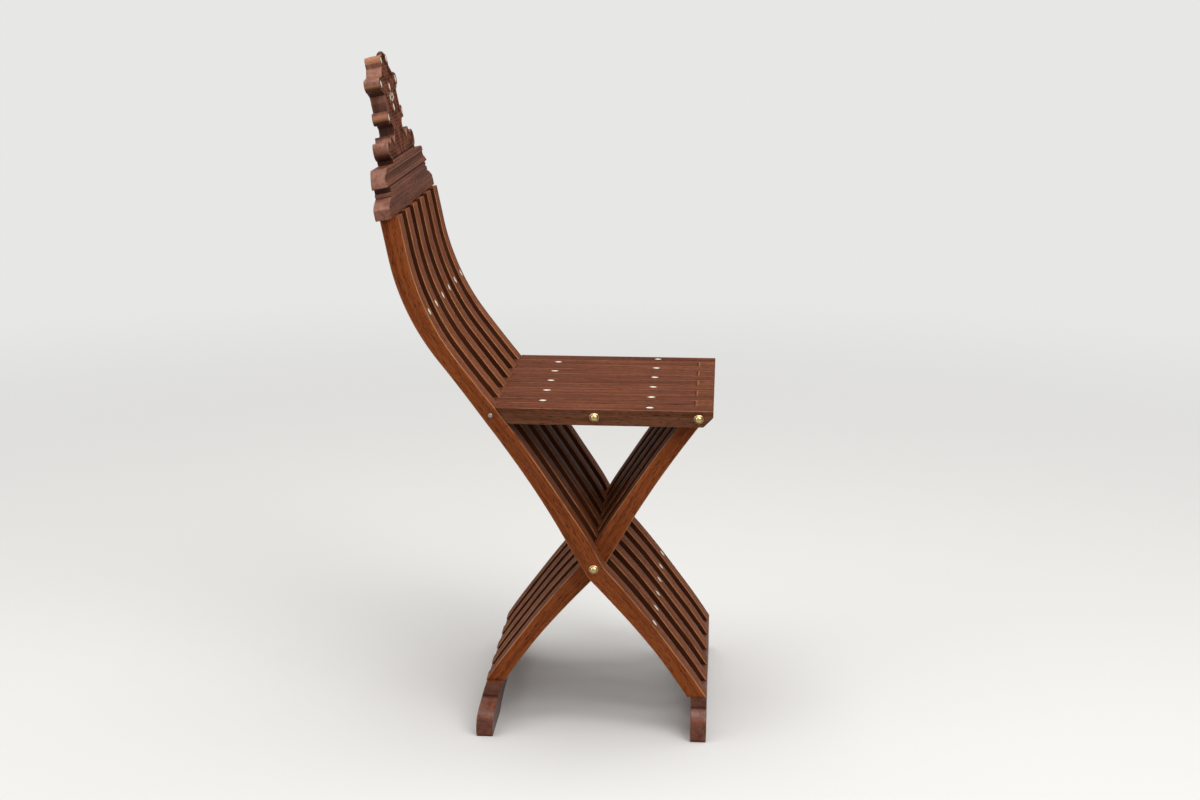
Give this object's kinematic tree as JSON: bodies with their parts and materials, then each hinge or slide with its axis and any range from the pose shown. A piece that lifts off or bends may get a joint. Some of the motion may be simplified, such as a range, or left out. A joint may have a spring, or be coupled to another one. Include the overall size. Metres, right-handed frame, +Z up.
{
  "type": "folding slat chair",
  "caption": "Folding wooden slat chair of the savonarola kind, with an S-curved back, a carved crest rail, scrolled foot boards and small bone inlays",
  "frame": {"origin": "The middle of the overall bounding box's footprint, on the floor, with the chair open", "axes": "+X points to the front, the way the sitter faces; +Y to the sitter's left; +Z up"},
  "size_m": [0.478, 0.3774, 0.9067],
  "materials": {
    "slat_wood": "satin varnish, warm orange-brown",
    "seat_wood": "worn varnish, reddish brown",
    "carved_wood": "dark waxed wood",
    "foot_wood": "worn varnish, brown",
    "steel": "plain steel",
    "brass": "polished brass, worn",
    "bone": "polished bone"
  },
  "bodies": {
    "back_frame": {"long_back_slat_1": "slat_wood", "long_back_slat_2": "slat_wood", "long_back_slat_3": "slat_wood", "long_back_slat_4": "slat_wood", "long_back_slat_5": "slat_wood", "long_back_slat_6": "slat_wood", "crest_lower_rail": "carved_wood", "crest_upper_rail": "carved_wood", "crest_crown": "carved_wood", "crest_dowels": "seat_wood", "front_foot_board": "foot_wood", "fold_axle": "steel", "fold_axle_knobs": "brass", "rear_seat_rod": "steel", "rear_seat_rod_screws": "steel", "back_inlays": "bone", "leg_inlays": "bone", "crest_inlays": "bone", "crest_flower_inlay": "bone"},
    "leg_frame": {"short_leg_slat_1": "slat_wood", "short_leg_slat_2": "slat_wood", "short_leg_slat_3": "slat_wood", "short_leg_slat_4": "slat_wood", "short_leg_slat_5": "slat_wood", "rear_foot_board": "foot_wood"},
    "front_seat": {"front_seat_slat_1": "seat_wood", "front_seat_slat_2": "seat_wood", "front_seat_slat_3": "seat_wood", "front_seat_slat_4": "seat_wood", "front_seat_slat_5": "seat_wood", "front_seat_slat_6": "seat_wood", "front_seat_rod": "steel", "front_seat_rod_knobs": "brass", "middle_seat_pins": "steel", "middle_seat_knobs": "brass", "front_seat_inlays": "bone"},
    "rear_seat": {"rear_seat_slat_1": "seat_wood", "rear_seat_slat_2": "seat_wood", "rear_seat_slat_3": "seat_wood", "rear_seat_slat_4": "seat_wood", "rear_seat_slat_5": "seat_wood", "rear_seat_inlays": "bone"}
  },
  "joints": [
    {"name": "fold", "type": "hinge", "parent": "back_frame", "child": "leg_frame", "pos_m": [0.083, 0, 0.235], "axis": [0, -1, 0], "range_deg": [0, 50]},
    {"name": "front_seat_hinge", "type": "hinge", "parent": "leg_frame", "child": "front_seat", "pos_m": [0.22, 0, 0.444], "axis": [0, 1, 0], "range_deg": [0, 100]},
    {"name": "rear_seat_hinge", "type": "hinge", "parent": "back_frame", "child": "rear_seat", "pos_m": [-0.054, 0, 0.444], "axis": [0, -1, 0], "range_deg": [0, 100]}
  ],
  "couplings": [
    {"joint": "front_seat_hinge", "follows": "fold", "ratio": 1.9968},
    {"joint": "rear_seat_hinge", "follows": "fold", "ratio": 1.9968}
  ]
}
